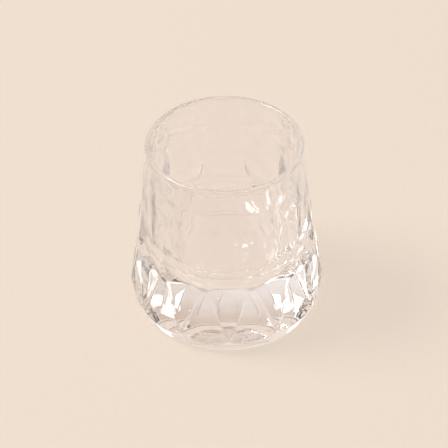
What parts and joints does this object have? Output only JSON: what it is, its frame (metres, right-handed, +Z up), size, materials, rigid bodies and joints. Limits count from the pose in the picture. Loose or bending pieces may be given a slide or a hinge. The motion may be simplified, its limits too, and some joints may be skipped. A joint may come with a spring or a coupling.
{
  "type": "drinking glass",
  "caption": "Clear pressed tumbler with a round rim, tall flat panels, a band of triangular facets and a heavy bevelled base.",
  "frame": {"origin": "centre of the foot, on the surface that the glass stands on", "axes": "+Z up along the glass's axis; -Y through the middle of one flat panel"},
  "size_m": [0.0958, 0.0958, 0.095],
  "materials": {
    "clear_glass": "clear, fire polished"
  },
  "bodies": {
    "root": {"rim": "clear_glass", "plain_band": "clear_glass", "panel_wall": "clear_glass", "facet_wall": "clear_glass", "base": "clear_glass", "foot": "clear_glass"}
  },
  "joints": []
}
